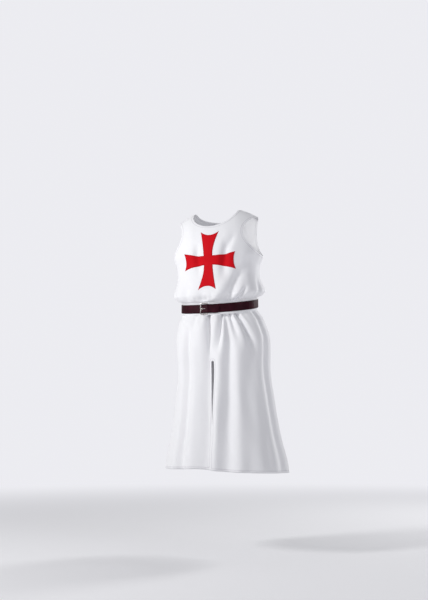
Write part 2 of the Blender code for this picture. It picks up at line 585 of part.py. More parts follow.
for old in list(bpy.data.objects):
    bpy.data.objects.remove(old, do_unlink=True)

white_cloth = new_material("white cloth", (0.80, 0.82, 0.86), 0.80)
red_cloth = new_material("red cloth", (0.58, 0.013, 0.021), 0.80)
dark_leather = new_material("dark leather", (0.035, 0.007, 0.012), 0.45)
plated_steel = new_material("plated steel", (0.55, 0.50, 0.50), 0.30, 1.0)

front_outer, front_normal, front_angles, front_centre = make_front(white_cloth)
make_back(white_cloth)
make_cross(front_outer, front_normal, front_angles, front_centre, red_cloth)
make_strap(dark_leather)
make_buckle_frame(plated_steel)
make_prong(plated_steel)
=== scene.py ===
import math

import bmesh
import bpy
import numpy as np
from mathutils import Matrix, Vector, kdtree


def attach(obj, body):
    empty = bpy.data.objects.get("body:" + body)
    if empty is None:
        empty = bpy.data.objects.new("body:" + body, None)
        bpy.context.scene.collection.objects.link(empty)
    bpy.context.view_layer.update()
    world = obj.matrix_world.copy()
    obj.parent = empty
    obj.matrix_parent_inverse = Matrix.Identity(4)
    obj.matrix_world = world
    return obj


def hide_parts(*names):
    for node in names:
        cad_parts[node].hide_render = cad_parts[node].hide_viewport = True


# White belted tunic with a red cross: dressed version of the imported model, in metres.
# The front faces -Y, +X is the wearer's left, +Z is up, and the origin lies between the neck's two ends.

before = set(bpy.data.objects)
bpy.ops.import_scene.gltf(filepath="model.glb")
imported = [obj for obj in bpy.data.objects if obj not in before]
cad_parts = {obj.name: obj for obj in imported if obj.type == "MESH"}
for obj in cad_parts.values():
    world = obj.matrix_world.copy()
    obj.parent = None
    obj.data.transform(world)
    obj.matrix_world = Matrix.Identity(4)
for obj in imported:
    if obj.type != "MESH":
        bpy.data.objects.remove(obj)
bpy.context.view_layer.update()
print("frame loaded:", ", ".join(sorted(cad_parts)))

# Cut and hang of the tunic, the same values as the solids have
tunic = {
    "wall": 0.0018,
    "seamGap": 0.0003,
    "roundness": 2.2,          # 2 is an ellipse, more is squarer
    "neckHalfWidth": 0.110,
    "frontNeckDepth": 0.100,
    "backNeckDepth": 0.030,
    "shoulderDrop": 0.042,
    "underarm": -0.228,
    "shoulderRoll": 1.8,
    "shoulderShare": 0.925,
    "slitTop": -0.720,
    "slitClosed": -0.990,
    "slitEnd": -1.030,         # the last of the gap is seen here
    "slitClosing": 1.6,        # more keeps the gap wide for longer
    "slitHalfGap": 0.0062,
    "slitSpread": 4.0,         # degrees of cloth beside the slit that give way
    "slitRounding": 0.009,
    "slitOverlap": 0.005,
    "slitCrossing": (0.080, 0.130),  # below slitClosed the left lip moves over the right one
    "slitLift": 0.0075,        # the left lip rolls outwards
    "slitLiftStart": 0.060,    # below the slit's top
    "slitLiftPlace": 4.0,      # degrees from the slit to the top of the roll
    "slitLiftAngle": 6.5,
    "hem": 0.012,              # width of the turned hem
    "hemThickness": 0.0005,    # what the turned layers add
    "hemSlope": 0.0015,
    "stitchInset": 0.002,      # from the hem's inner edge to the row of stitches
    "beltHeight": -0.454,
}
drape = {
    "drift": 0.008,            # slow unevenness
    "driftWaves": (7, 9, 13, 17, 23),  # waves round the body
    "creaseFade": 0.005,
    "seamPress": 0.0004,       # seams are pressed in this much
    "seamWidth": 0.003,
    "hemRise": 0.008,          # the hem hangs higher in front, a little to the wearer's right
    "hemRiseAngle": -12,
    "hemRiseWidth": 18,
}
underarmPoint = (1.00, tunic["underarm"])
shoulderEnd = (tunic["shoulderShare"], -tunic["shoulderDrop"])
frontArmhole = (underarmPoint, (0.90, -0.204), (0.44, -0.135), shoulderEnd)
backArmhole = (underarmPoint, (0.91, -0.202), (0.58, -0.135), shoulderEnd)

# height, half width, half depth, sideways, front drop, left drop
rings = np.array([
    (-1.203, 0.284, 0.213, 0.032, 0.000, 0.010),
    (-1.032, 0.252, 0.190, 0.028, 0.000, 0.006),
    (-0.892, 0.232, 0.176, 0.025, 0.001, 0.003),
    (-0.750, 0.218, 0.165, 0.022, 0.006, 0.000),
    (-0.632, 0.222, 0.168, 0.020, 0.014, 0.000),
    (-0.535, 0.204, 0.153, 0.010, 0.026, 0.000),
    (-0.496, 0.185, 0.139, 0.005, 0.032, 0.000),
    (-0.483, 0.178, 0.134, 0.004, 0.034, 0.000),
    (-0.4255, 0.178, 0.134, 0.004, 0.034, 0.000),
    (-0.421, 0.192, 0.145, 0.004, 0.034, 0.000),
    (-0.410, 0.208, 0.157, 0.004, 0.033, 0.000),
    (-0.397, 0.217, 0.164, 0.004, 0.030, 0.000),
    (-0.380, 0.214, 0.162, 0.003, 0.024, 0.000),
    (-0.358, 0.205, 0.155, 0.002, 0.016, 0.000),
    (-0.319, 0.196, 0.148, 0.001, 0.008, 0.000),
    (-0.280, 0.197, 0.149, 0.000, 0.002, 0.000),
    (-0.228, 0.212, 0.159, 0.000, 0.000, 0.000),
    (0.000, 0.212, 0.159, 0.000, 0.000, 0.000),
])
ringColumn = {"width": 1, "depth": 2, "sideways": 3, "frontDrop": 4, "leftDrop": 5}

# Folds: top height, low height, top angle, low angle, top width, low width, top lift, low lift, top fade,
# low fade. A fold comes in over its top fade and dies out over its low fade.
# A negative lift is a valley. Angles go round the body: 0 front centre, 90 left side seam, 180 back centre.
folds = (
    # skirt, front
    (-0.481, -0.700, -4.0, -4, 0.011, 0.024, -0.018, -0.012, 0.007, 0.130),
    (-0.481, -0.720, 16, 2, 0.010, 0.020, -0.015, -0.008, 0.007, 0.120),
    (-0.490, -0.720, 18, 9, 0.010, 0.018, 0.006, 0.005, 0.030, 0.120),
    (-0.481, -1.020, 21.5, 18.5, 0.014, 0.026, -0.018, -0.021, 0.007, 0.140),
    (-0.880, -1.300, 18.5, 12, 0.028, 0.034, -0.018, -0.020, 0.140, 0.020),
    (-0.640, -1.300, 9, 2, 0.016, 0.020, 0.006, 0.008, 0.100, 0.020),
    (-0.481, -0.690, 28, 31, 0.010, 0.020, -0.016, -0.009, 0.007, 0.120),
    (-0.481, -0.740, 38, 54, 0.012, 0.024, -0.020, -0.014, 0.007, 0.140),
    (-0.620, -1.300, 50, 33, 0.028, 0.042, -0.005, -0.005, 0.120, 0.020),
    (-0.600, -1.300, 31, 23, 0.022, 0.032, 0.006, 0.007, 0.120, 0.020),
    (-0.510, -1.300, -35, -32, 0.020, 0.028, -0.018, -0.024, 0.080, 0.020),
    (-0.600, -1.300, -4, -4, 0.022, 0.030, -0.011, -0.013, 0.100, 0.020),
    (-0.600, -1.300, -25, -20, 0.022, 0.028, 0.005, 0.008, 0.100, 0.020),
    (-0.481, -0.680, -24, -26, 0.012, 0.022, -0.009, -0.004, 0.007, 0.120),
    (-0.481, -0.680, -50, -46, 0.014, 0.026, -0.012, -0.006, 0.007, 0.120),
    # skirt, sides and back
    (-0.481, -1.300, 74, 76, 0.018, 0.036, -0.011, -0.016, 0.007, 0.020),
    (-0.481, -1.300, -70, -70, 0.018, 0.036, -0.010, -0.014, 0.007, 0.020),
    (-0.481, -1.300, 112, 108, 0.017, 0.036, -0.012, -0.018, 0.007, 0.020),
    (-0.481, -0.860, 134, 140, 0.015, 0.030, -0.014, -0.010, 0.007, 0.200),
    (-0.481, -1.300, 160, 154, 0.016, 0.036, -0.013, -0.020, 0.007, 0.020),
    (-0.481, -1.300, 186, 188, 0.015, 0.034, -0.011, -0.015, 0.007, 0.020),
    (-0.481, -0.820, 208, 204, 0.015, 0.030, -0.014, -0.010, 0.007, 0.200),
    (-0.481, -1.300, 226, 230, 0.017, 0.036, -0.012, -0.018, 0.007, 0.020),
    (-0.481, -1.300, 256, 252, 0.018, 0.036, -0.011, -0.016, 0.007, 0.020),
    # blouse over the belt
    (-0.270, -0.427, 52, 21, 0.019, 0.024, -0.009, -0.024, 0.080, 0.007),
    (-0.365, -0.427, 50, 36, 0.011, 0.012, -0.008, -0.021, 0.030, 0.006),
    (-0.365, -0.427, -9, -10, 0.016, 0.024, -0.004, -0.013, 0.040, 0.014),
    (-0.330, -0.427, -28, -34, 0.018, 0.020, -0.004, -0.009, 0.050, 0.014),
    (-0.345, -0.427, -62, -58, 0.018, 0.018, -0.004, -0.009, 0.050, 0.014),
    (-0.320, -0.427, 26, 6, 0.016, 0.020, 0.002, 0.007, 0.060, 0.014),
    (-0.315, -0.427, 78, 70, 0.018, 0.018, -0.004, -0.010, 0.060, 0.014),
    (-0.280, -0.427, 122, 132, 0.022, 0.020, -0.005, -0.013, 0.070, 0.014),
    (-0.335, -0.427, 160, 156, 0.018, 0.018, -0.004, -0.011, 0.050, 0.014),
    (-0.325, -0.427, 192, 196, 0.020, 0.018, -0.004, -0.012, 0.050, 0.014),
    (-0.295, -0.427, 238, 226, 0.022, 0.020, -0.005, -0.012, 0.060, 0.014),
    (-0.335, -0.427, 262, 266, 0.018, 0.018, -0.004, -0.010, 0.050, 0.014),
)

# Finer creases, laid over the folds: the same columns, mostly without the fades. Those that hang from the
# belt start at once, and the others come in slowly.
creases = (
    # dark cores of the pleats that the belt holds at the front
    (-0.481, -0.720, -4.0, -3.5, 0.0052, 0.008, -0.020, -0.013),
    (-0.481, -0.700, 16.0, 6, 0.005, 0.008, -0.013, -0.009),
    (-0.481, -0.600, 20.5, 20, 0.006, 0.010, -0.004, -0.003),
    (-0.481, -0.620, 28, 30, 0.0055, 0.010, -0.009, -0.005),
    (-0.481, -0.680, 38, 50, 0.006, 0.011, -0.011, -0.006),
    # gathers that hang from the belt at the front
    (-0.482, -0.560, -14, -15, 0.007, 0.012, -0.003, -0.001),
    (-0.482, -0.545, -32, -33, 0.007, 0.012, -0.003, -0.001),
    (-0.482, -0.570, 2, 2, 0.007, 0.012, -0.003, -0.001),
    (-0.482, -0.560, 49, 53, 0.007, 0.012, -0.0035, -0.001),
    (-0.482, -0.560, 62, 64, 0.008, 0.012, -0.003, -0.001),
    (-0.482, -0.590, -60, -58, 0.008, 0.014, -0.0035, -0.001),
    # soft second troughs down the skirt
    (-0.700, -1.300, -52, -50, 0.024, 0.034, -0.0035, -0.006),
    (-0.800, -1.300, 62, 52, 0.024, 0.034, -0.004, -0.007),
    (-0.900, -1.300, 12, 12, 0.014, 0.018, 0.0015, 0.004),
    # blouse: small tucks that the belt takes in
    (-0.392, -0.426, -3, -4, 0.006, 0.008, -0.0015, -0.004),
    (-0.396, -0.426, -18, -19, 0.006, 0.009, -0.001, -0.0035),
    (-0.388, -0.426, 3, 4, 0.006, 0.008, -0.001, -0.0035),
    (-0.392, -0.426, 18, 17, 0.006, 0.009, -0.001, -0.0035),
    (-0.390, -0.426, -46, -47, 0.008, 0.010, -0.0012, -0.0035),
    (-0.386, -0.426, 60, 59, 0.008, 0.010, -0.0012, -0.004),
    # soft troughs beside the upright of the cross
    (-0.150, -0.370, 24, 19, 0.014, 0.020, -0.015, -0.009, 0.090, 0.090),
    (-0.170, -0.350, -15, -15, 0.013, 0.018, -0.015, -0.008, 0.080, 0.080),
    (-0.140, -0.230, 33, 24, 0.012, 0.014, -0.004, -0.006, 0.040, 0.040),
    # drag lines of the chest, from the shoulder and the side towards the belt
    (-0.090, -0.250, 34, 24, 0.014, 0.018, -0.001, -0.0022),
    (-0.240, -0.400, 58, 44, 0.012, 0.018, -0.002, -0.003),
    (-0.250, -0.380, -44, -36, 0.016, 0.020, -0.0015, -0.002),
    (-0.100, -0.230, -40, -46, 0.012, 0.018, -0.001, -0.002),
    # the back, much the same
    (-0.482, -0.560, 124, 124, 0.008, 0.012, -0.003, -0.001),
    (-0.482, -0.570, 147, 147, 0.008, 0.013, -0.003, -0.001),
    (-0.482, -0.560, 172, 172, 0.008, 0.012, -0.003, -0.001),
    (-0.482, -0.575, 198, 197, 0.008, 0.013, -0.003, -0.001),
    (-0.482, -0.560, 217, 216, 0.008, 0.012, -0.003, -0.001),
    (-0.482, -0.570, 241, 241, 0.008, 0.013, -0.003, -0.001),
    (-0.390, -0.426, 145, 144, 0.008, 0.010, -0.0012, -0.0038),
    (-0.390, -0.426, 176, 177, 0.008, 0.010, -0.0012, -0.0038),
    (-0.390, -0.426, 211, 210, 0.008, 0.010, -0.0012, -0.0038),
    (-0.200, -0.360, 150, 160, 0.018, 0.020, -0.0015, -0.0025),
    (-0.180, -0.350, 214, 202, 0.018, 0.020, -0.0015, -0.0025),
)


def withFades(row):
    length, underBelt = row[0] - row[1], -0.49 < row[0] < -0.47
    fades = (drape["creaseFade"] if underBelt else 0.35 * length, 0.5 * length)
    return row if len(row) == len(folds[0]) else row + fades


creases = [withFades(row) for row in creases]


# 0 before start, 1 after end, 3s^2 - 2s^3 between
def ease(value, start, end):
    share = np.clip((value - start) / (end - start), 0.0, 1.0)
    return share * share * (3.0 - 2.0 * share)


# One column of the rings at any height: cubic pieces whose slopes are the harmonic mean of their neighbours'
def ringValue(name, height):
    knots, values = rings[:, 0], rings[:, ringColumn[name]]
    step = np.diff(knots)
    rise = np.diff(values) / step
    sameWay = rise[:-1] * rise[1:] > 0
    slope = np.zeros_like(values)
    total = np.where(sameWay, rise[:-1] + rise[1:], 1.0)
    slope[1:-1] = np.where(sameWay, 2 * rise[:-1] * rise[1:] / total, 0.0)
    at = np.clip(np.searchsorted(knots, height) - 1, 0, len(step) - 1)
    s = np.clip((height - knots[at]) / step[at], 0.0, 1.0)
    blend = 3 * s**2 - 2 * s**3
    pull = step[at] * (slope[at] * (s**3 - 2 * s**2 + s) + slope[at + 1] * (s**3 - s**2))
    return values[at] * (1 - blend) + values[at + 1] * blend + pull


# Point of a superellipse of size 1 at a pattern angle: (sin, cos) scaled so that |x|^p + |y|^p = 1
def unitRing(angle):
    x, y = np.sin(np.radians(angle)), np.cos(np.radians(angle))
    size = (np.abs(x) ** tunic["roundness"] + np.abs(y) ** tunic["roundness"]) ** (-1 / tunic["roundness"])
    return x * size, y * size


# Shoulder seam: level at the neck and falling more steeply outwards, as a power of the way along it
def shoulderHeight(across):
    end = rings[-1, 1] * tunic["shoulderShare"]
    share = np.clip((np.abs(across) - tunic["neckHalfWidth"]) / (end - tunic["neckHalfWidth"]), 0.0, 1.0)
    return -tunic["shoulderDrop"] * share**1.3


# Upper edge of a panel: shoulder seam, less an ellipse for the neckline
def topHeight(across, neckDepth):
    inside = np.clip(1.0 - (across / tunic["neckHalfWidth"]) ** 2, 0.0, 1.0)
    return shoulderHeight(across) - neckDepth * np.sqrt(inside)


# Sum over the folds of lift * exp(-(distance / width)^2), faded in and out at each fold's ends
def foldLift(angle, height, table):
    lift = np.zeros_like(height)
    radius = (ringValue("width", height) + ringValue("depth", height)) / 2
    for top, low, topAngle, lowAngle, topWidth, lowWidth, topLift, lowLift, topFade, lowFade in table:
        along = np.clip((top - height) / (top - low), 0.0, 1.0)
        turn = (angle - topAngle - (lowAngle - topAngle) * along + 180.0) % 360.0 - 180.0
        away = np.radians(turn) * radius / (topWidth + (lowWidth - topWidth) * along)
        inside = ease(height, low, low + lowFade) * ease(-height, -top, topFade - top)
        lift += (topLift + (lowLift - topLift) * along) * np.exp(-away * away) * inside
    return lift


# Slow unevenness of hanging cloth: a sum of waves that are longer down the cloth than round it
def drift(angle, height):
    waves = np.random.default_rng(7)
    total = np.zeros_like(height)
    for count in drape["driftWaves"]:
        phase, lean = waves.uniform(0, 2 * math.pi), waves.uniform(-6, 6)
        round_ = np.sin(np.radians(angle) * count + phase + lean * height)
        total += round_ * np.sin(height * count * 0.9 + 2 * phase) / count
    calmAtBelt = np.where(height > tunic["beltHeight"], ease(height, -0.42, -0.34), ease(-height, 0.49, 0.60))
    return drape["drift"] * total * calmAtBelt


# Outer face: superellipse rings, with the folds' lift along the ring's outward direction
def clothPoint(share, height, side):
    width, depth = ringValue("width", height), ringValue("depth", height)
    power = tunic["roundness"]
    depthShare = np.clip(1.0 - np.abs(share) ** power, 0.0, 1.0) ** (1 / power)
    front = np.degrees(np.arctan2(share, depthShare))
    angle = np.where(side < 0, front, 180.0 - front)
    climb = (height - tunic["underarm"]) / (shoulderHeight(share * width) - tunic["underarm"])
    roll = (1 - np.clip(climb, 0.0, 1.0) ** tunic["shoulderRoll"]) ** (1 / tunic["shoulderRoll"])
    outX = np.sign(share) * np.abs(share) ** (power - 1) / width
    outY = side * depthShare ** (power - 1) / depth
    outSize = np.hypot(outX, outY)
    # nothing fine at the side seams, and where the cloth lies on the shoulder
    calm = (1 - ease(height, -0.16, -0.04)) * ease(1 - np.abs(share), 0.0, 0.03)
    lift = foldLift(angle, height, folds) + (foldLift(angle, height, creases) + drift(angle, height)) * calm
    x = share * width + ringValue("sideways", height) + lift * outX / outSize
    y = side * (depth * depthShare * roll + tunic["seamGap"] / 2) + lift * outY / outSize
    z = height + ringValue("frontDrop", height) * y / depth - ringValue("leftDrop", height) * share
    nearRise = np.exp(-((angle - drape["hemRiseAngle"]) / drape["hemRiseWidth"]) ** 2)
    z = z + drape["hemRise"] * nearRise * ease(-height, 1.0, 1.2)
    return np.stack([x, y, z], axis=-1)


# Panel as shares and heights on a grid: rows from hem to upper edge, outer columns on side seam, then armhole
def panelGrid(angles, rows, neckDepth, armhole):
    share = unitRing(angles)[0]
    way = 1 - (1 - np.arange(1, chestRows + 1) / chestRows) ** 1.5
    weights = np.array([(1 - way) ** 3, 3 * way * (1 - way) ** 2, 3 * way**2 * (1 - way), way**3])
    edgeShare, edgeHeight = np.array(armhole).T @ weights
    climb = (edgeHeight - tunic["underarm"]) / (-tunic["shoulderDrop"] - tunic["underarm"])
    top = topHeight(share * tunic["shoulderShare"] * rings[-1, 1], neckDepth)
    heights = np.vstack([np.repeat(rows[:, None], len(angles), axis=1),
                         tunic["underarm"] + climb[:, None] * (top - tunic["underarm"])])
    # the armhole pulls in only the columns outside the neck, and the others rise straight to the neckline
    straight = 1 - (1 - tunic["shoulderShare"]) * ease(climb, 0.0, 1.0)
    pulled = straight[:, None] + (edgeShare - straight)[:, None] * ease(np.abs(share), neckShare, 1.0)
    return np.vstack([np.ones((len(rows), 1)) * share, pulled * share]), heights


def unit(vectors):
    return vectors / np.linalg.norm(vectors, axis=-1, keepdims=True)


# Outward directions of a grid: cross product of its two directions
def gridNormals(points):
    return unit(np.cross(np.gradient(points, axis=1), np.gradient(points, axis=0)))


# Outward directions of the cloth itself, which don't depend on how the grid runs
def clothNormals(share, height, side):
    nudge = 0.0005
    across = clothPoint(share + nudge, height, side) - clothPoint(share - nudge, height, side)
    up = clothPoint(share, height + nudge, side) - clothPoint(share, height - nudge, side)
    return unit(-side * np.cross(across, up))


# Distance of every grid point to the nearest of some lines, each drawn six times finer
def distanceTo(points, lines):
    share = np.linspace(0, 1, 7)[:, None, None]
    places = np.vstack([(line[:-1] + (line[1:] - line[:-1]) * share).reshape(-1, 3) for line in lines])
    tree = kdtree.KDTree(len(places))
    for number, place in enumerate(places):
        tree.insert(place, number)
    tree.balance()
    return np.array([tree.find(place)[2] for place in points.reshape(-1, 3)]).reshape(points.shape[:2])


# Length along the grid's lines, summed from their first point
def pathLength(points, axis):
    step = np.linalg.norm(np.diff(points, axis=axis), axis=-1)
    start = np.zeros_like(np.take(step, [0], axis=axis))
    return np.concatenate([start, np.cumsum(step, axis=axis)], axis=axis)


def addObject(name, data):
    made = bpy.data.objects.new(name, data)
    bpy.context.collection.objects.link(made)
    return made


# Mesh object from whole arrays; quads are rows of four point numbers
def meshObject(name, points, quads, material, smooth=True):
    mesh = bpy.data.meshes.new(name)
    quads = np.asarray(quads, dtype=np.int32)
    mesh.vertices.add(len(points))
    mesh.vertices.foreach_set("co", np.asarray(points, dtype=np.float32).ravel())
    mesh.loops.add(quads.size)
    mesh.loops.foreach_set("vertex_index", quads.ravel())
    mesh.polygons.add(len(quads))
    mesh.polygons.foreach_set("loop_start", np.arange(0, quads.size, quads.shape[1], dtype=np.int32))
    mesh.update(calc_edges=True)
    mesh.validate()
    if smooth:
        mesh.shade_smooth()
    mesh.materials.append(material)
    return addObject(name, mesh)


# Fills the open ends with flat faces and turns every face outwards
def closeEnds(made):
    shape = bmesh.new()
    shape.from_mesh(made.data)
    for face in bmesh.ops.holes_fill(shape, edges=shape.edges, sides=0)["faces"]:
        face.smooth = False
    bmesh.ops.recalc_face_normals(shape, faces=shape.faces)
    shape.to_mesh(made.data)
    shape.free()


def pointAttribute(made, name, values):
    layer = made.data.attributes.new(name, "FLOAT", "POINT")
    layer.data.foreach_set("value", np.asarray(values, dtype=np.float32).ravel())


# UV map in metres of cloth, so that a thread is as wide everywhere
def pointUv(made, u, v):
    layer = made.data.uv_layers.new(name="cloth")
    corner = np.empty(len(made.data.loops), dtype=np.int32)
    made.data.loops.foreach_get("vertex_index", corner)
    places = np.stack([np.ravel(u)[corner], np.ravel(v)[corner]], axis=-1)
    layer.data.foreach_set("uv", places.astype(np.float32).ravel())


def gridNumbers(points):
    return np.arange(points.shape[0] * points.shape[1]).reshape(points.shape[:2])


# Closed shell: outer quads, the same quads turned round for the inner face, whose points follow the outer
# ones, and a rim of quads along every edge that has one quad only
def shellQuads(quads, count):
    edges = np.concatenate([quads[:, [i, (i + 1) % 4]] for i in range(4)])
    rim = edges[~np.isin(edges[:, 0] * count + edges[:, 1], edges[:, 1] * count + edges[:, 0])]
    rimQuads = np.stack([rim[:, 1], rim[:, 0], rim[:, 0] + count, rim[:, 1] + count], axis=-1)
    return np.vstack([quads, quads[:, ::-1] + count, rimQuads])


# Quads that join every row of numbered points to the next one, as a tube
def tubeQuads(number, ahead):
    quads = np.stack([number, ahead, np.roll(ahead, -1, axis=1), np.roll(number, -1, axis=1)], axis=-1)
    return quads.reshape(-1, 4)


# Wall of a panel: grid points with equal numbers are one point, and one column of cells may be left open
def wallMesh(outer, inner, number, skipColumn=None):
    used, number = np.unique(number, return_inverse=True)
    number = number.reshape(outer.shape[:2])
    cells = np.stack([number[:-1, :-1], number[:-1, 1:], number[1:, 1:], number[1:, :-1]], axis=-1)
    if skipColumn is not None:
        cells = np.delete(cells, skipColumn, axis=1)
    points = np.vstack([outer.reshape(-1, 3)[used], inner.reshape(-1, 3)[used]])
    return points, shellQuads(cells.reshape(-1, 4), len(used)), used


# sRGB hex to linear colour
def linear(hexColor):
    parts = [int(hexColor[i:i + 2], 16) / 255 for i in (1, 3, 5)]
    return tuple(p / 12.92 if p <= 0.04045 else ((p + 0.055) / 1.055) ** 2.4 for p in parts) + (1.0,)


# Inputs of a node are values, or (node, output) pairs that are linked
def setInputs(tree, node, inputs):
    for name, value in inputs.items():
        if isinstance(value, tuple) and isinstance(value[0], bpy.types.Node):
            tree.links.new(value[0].outputs[value[1]], node.inputs[name])
        else:
            node.inputs[name].default_value = value


# Adds a node with its settings and inputs
def addNode(tree, kind, inputs=None, **settings):
    node = tree.nodes.new(kind)
    for name, value in settings.items():
        setattr(node, name, value)
    setInputs(tree, node, inputs or {})
    return node


def addMath(tree, operation, *values):
    return addNode(tree, "ShaderNodeMath", dict(enumerate(values)), operation=operation)


def addNoise(tree, place, scale, detail):
    return addNode(tree, "ShaderNodeTexNoise", {"Vector": place, "Scale": scale, "Detail": detail})


# Relief of a finish: a height in metres, laid over another relief
def addBump(tree, height, strength, distance, *below):
    inputs = {"Height": height, "Strength": strength, "Distance": distance}
    return addNode(tree, "ShaderNodeBump", inputs | {"Normal": (node, 0) for node in below})


def startMaterial(name):
    material = bpy.data.materials.new(name)
    material.use_nodes = True
    tree = material.node_tree
    return material, tree, tree.nodes["Principled BSDF"]


def rampColors(node, stops):
    node.color_ramp.elements[0].position, node.color_ramp.elements[0].color = stops[0]
    node.color_ramp.elements[1].position, node.color_ramp.elements[1].color = stops[-1]
    for place, color in stops[1:-1]:
        node.color_ramp.elements.new(place).color = color


weave = {
    "rib": 0.0009,             # two threads of 0.45 mm: real ones are finer, and wouldn't show
    "ribAngle": 27,
    "stitch": 0.003,
    "stitchRow": (0.0005, 0.0014),  # a row is full up to the first distance and gone at the second
    "puckers": 14.0,           # a soft unevenness about 70 mm long
}


# Cotton and polyester twill, woven and piece dyed: matt, with a soft sheen and a fine slanting rib.
# Turned edges carry one row of lockstitch, which dents the cloth along it; along the row the base colour is
# painted darker, as painted shade in the dent.
def twill(name, dyed, dentShadeColor, sheen, gloss):
    material, tree, shader = startMaterial(name)
    uv = addNode(tree, "ShaderNodeUVMap", uv_map="cloth")
    apart = addNode(tree, "ShaderNodeSeparateXYZ", {0: (uv, 0)})
    offset = addNode(tree, "ShaderNodeAttribute", attribute_name="fromStitch")
    edge = addMath(tree, "ABSOLUTE", (offset, "Fac"))
    # the stitch row is broken once for each stitch
    near = addNode(tree, "ShaderNodeMapRange", {
        "Value": (edge, 0), "From Min": weave["stitchRow"][0], "From Max": weave["stitchRow"][1],
        "To Min": 1.0, "To Max": 0.0})
    along = addMath(tree, "ADD", (apart, 0), (apart, 1))
    turns = addMath(tree, "MULTIPLY", (along, 0), 2 * math.pi / weave["stitch"])
    beat = addMath(tree, "SINE", (turns, 0))
    dash = addNode(tree, "ShaderNodeMapRange", {"Value": (beat, 0), "From Min": -0.5, "From Max": 0.1})
    stitch = addMath(tree, "MULTIPLY", (near, 0), (dash, 0))
    # painted shade: the base colour is mixed towards the darker dent colour along the stitch row
    shade = addMath(tree, "MULTIPLY", (near, 0), 0.6)
    dyedWithDentShade = addNode(tree, "ShaderNodeMix", {0: (shade, 0), 6: linear(dyed), 7: linear(dentShadeColor)},
                     data_type="RGBA")
    # twill rib: thread lines that run up to the right, one wave in 2 pi / (20 * scale)
    slant = addNode(tree, "ShaderNodeVectorRotate", {
        "Vector": (uv, 0), "Angle": math.radians(weave["ribAngle"])}, rotation_type="Z_AXIS")
    rib = addNode(tree, "ShaderNodeTexWave", {
        "Vector": (slant, 0), "Scale": 2 * math.pi / weave["rib"] / 20, "Distortion": 0.4, "Detail": 1.0})
    ribBump = addBump(tree, (rib, 1), 0.18, 0.0001)
    soft = addNoise(tree, (uv, 0), weave["puckers"], 2.0)
    softBump = addBump(tree, (soft, 0), 0.15, 0.0012, ribBump)
    threadBump = addBump(tree, (stitch, 0), 0.6, 0.0004, softBump)
    setInputs(tree, shader, {
        "Base Color": (dyedWithDentShade, 2), "Normal": (threadBump, 0), "Roughness": 0.72, "IOR": 1.46,
        "Specular IOR Level": gloss, "Sheen Weight": sheen, "Sheen Roughness": 0.45})
    return material


# Vegetable-tanned cowhide strap, dyed oxblood and waxed: pores about 1 mm wide, cloudy dye with a dull
# gloss, and edges rubbed darker
def waxedCowhide(name):
    material, tree, shader = startMaterial(name)
    place = addNode(tree, "ShaderNodeTexCoord")
    grain = addNode(tree, "ShaderNodeTexVoronoi", {"Vector": (place, "Object"), "Scale": 900.0},
                    feature="DISTANCE_TO_EDGE")
    clouds = addNoise(tree, (place, "Object"), 38.0, 4.0)
    color = addNode(tree, "ShaderNodeValToRGB", {0: (clouds, 0)})
    rampColors(color, [(0.30, linear("#25080f")), (0.52, linear("#300d18")), (0.72, linear("#3b121e"))])
    edge = addNode(tree, "ShaderNodeAttribute", attribute_name="edgeWear")
    worn = addNode(tree, "ShaderNodeMix", {0: (edge, "Fac"), 6: (color, 0), 7: linear("#140408")},
                   data_type="RGBA")
    rough = addNode(tree, "ShaderNodeMapRange", {"Value": (clouds, 0), "To Min": 0.40, "To Max": 0.52})
    pores = addBump(tree, (grain, 0), 0.25, 0.0003)
    wrinkle = addBump(tree, (clouds, 0), 0.3, 0.0010, pores)
    setInputs(tree, shader, {
        "Base Color": (worn, 2), "Roughness": (rough, 0), "Normal": (wrinkle, 0), "Specular IOR Level": 0.07})
    return material


# Die-cast zinc with nickel plating: bright, dulled in clouds about 6 mm wide, with hair-fine scratches
def nickelPlate(name):
    material, tree, shader = startMaterial(name)
    place = addNode(tree, "ShaderNodeTexCoord")
    haze = addNoise(tree, (place, "Object"), 160.0, 4.0)
    color = addNode(tree, "ShaderNodeValToRGB", {0: (haze, 0)})
    rampColors(color, [(0.30, linear("#a59d9b")), (0.70, linear("#d9d3d0"))])
    rough = addNode(tree, "ShaderNodeMapRange", {"Value": (haze, 0), "To Min": 0.18, "To Max": 0.40})
    scratch = addNoise(tree, (place, "Object"), 1400.0, 2.0)
    bump = addBump(tree, (scratch, 0), 0.08, 0.0001)
    setInputs(tree, shader, {
        "Base Color": (color, 0), "Roughness": (rough, 0), "Normal": (bump, 0), "Metallic": 1.0})
    return material


# the second colour of each twill is the painted shade along its stitch rows
whiteTwill = twill("white cotton twill", "#f0f0f2", "#c4c1c8", 0.06, 0.30)
redTwill = twill("red cotton twill", "#cc0918", "#8c0711", 0.0, 0.12)
oxbloodLeather = waxedCowhide("oxblood cowhide")
buckleNickel = nickelPlate("nickel plated zinc")
print("materials made")

neckShare = tunic["neckHalfWidth"] / (rings[-1, 1] * tunic["shoulderShare"])
neckAngle = math.degrees(math.atan((neckShare ** -tunic["roundness"] - 1) ** (-1 / tunic["roundness"])))


def spans(*parts):
    return np.unique(np.round(np.concatenate([np.linspace(a, b, n + 1) for a, b, n in parts]), 6))


# Columns of a panel, closer together where the neckline turns up steeply to the shoulder
def columnAngles(*parts):
    turn = neckAngle - 1.2 * (np.arange(1, 8) / 8) ** 2
    return np.unique(np.round(np.concatenate([spans(*parts), turn, -turn]), 6))


# Relief by distance: a turned hem is thicker up to its inner edge, and a pressed seam lies a little lower
def hemRelief(distance):
    slope = tunic["hemSlope"]
    return tunic["hemThickness"] * (1 - ease(distance, tunic["hem"] - slope, tunic["hem"] + slope))


def seamRelief(distance):
    return -drape["seamPress"] * (1 - ease(distance, 0.0, drape["seamWidth"]))


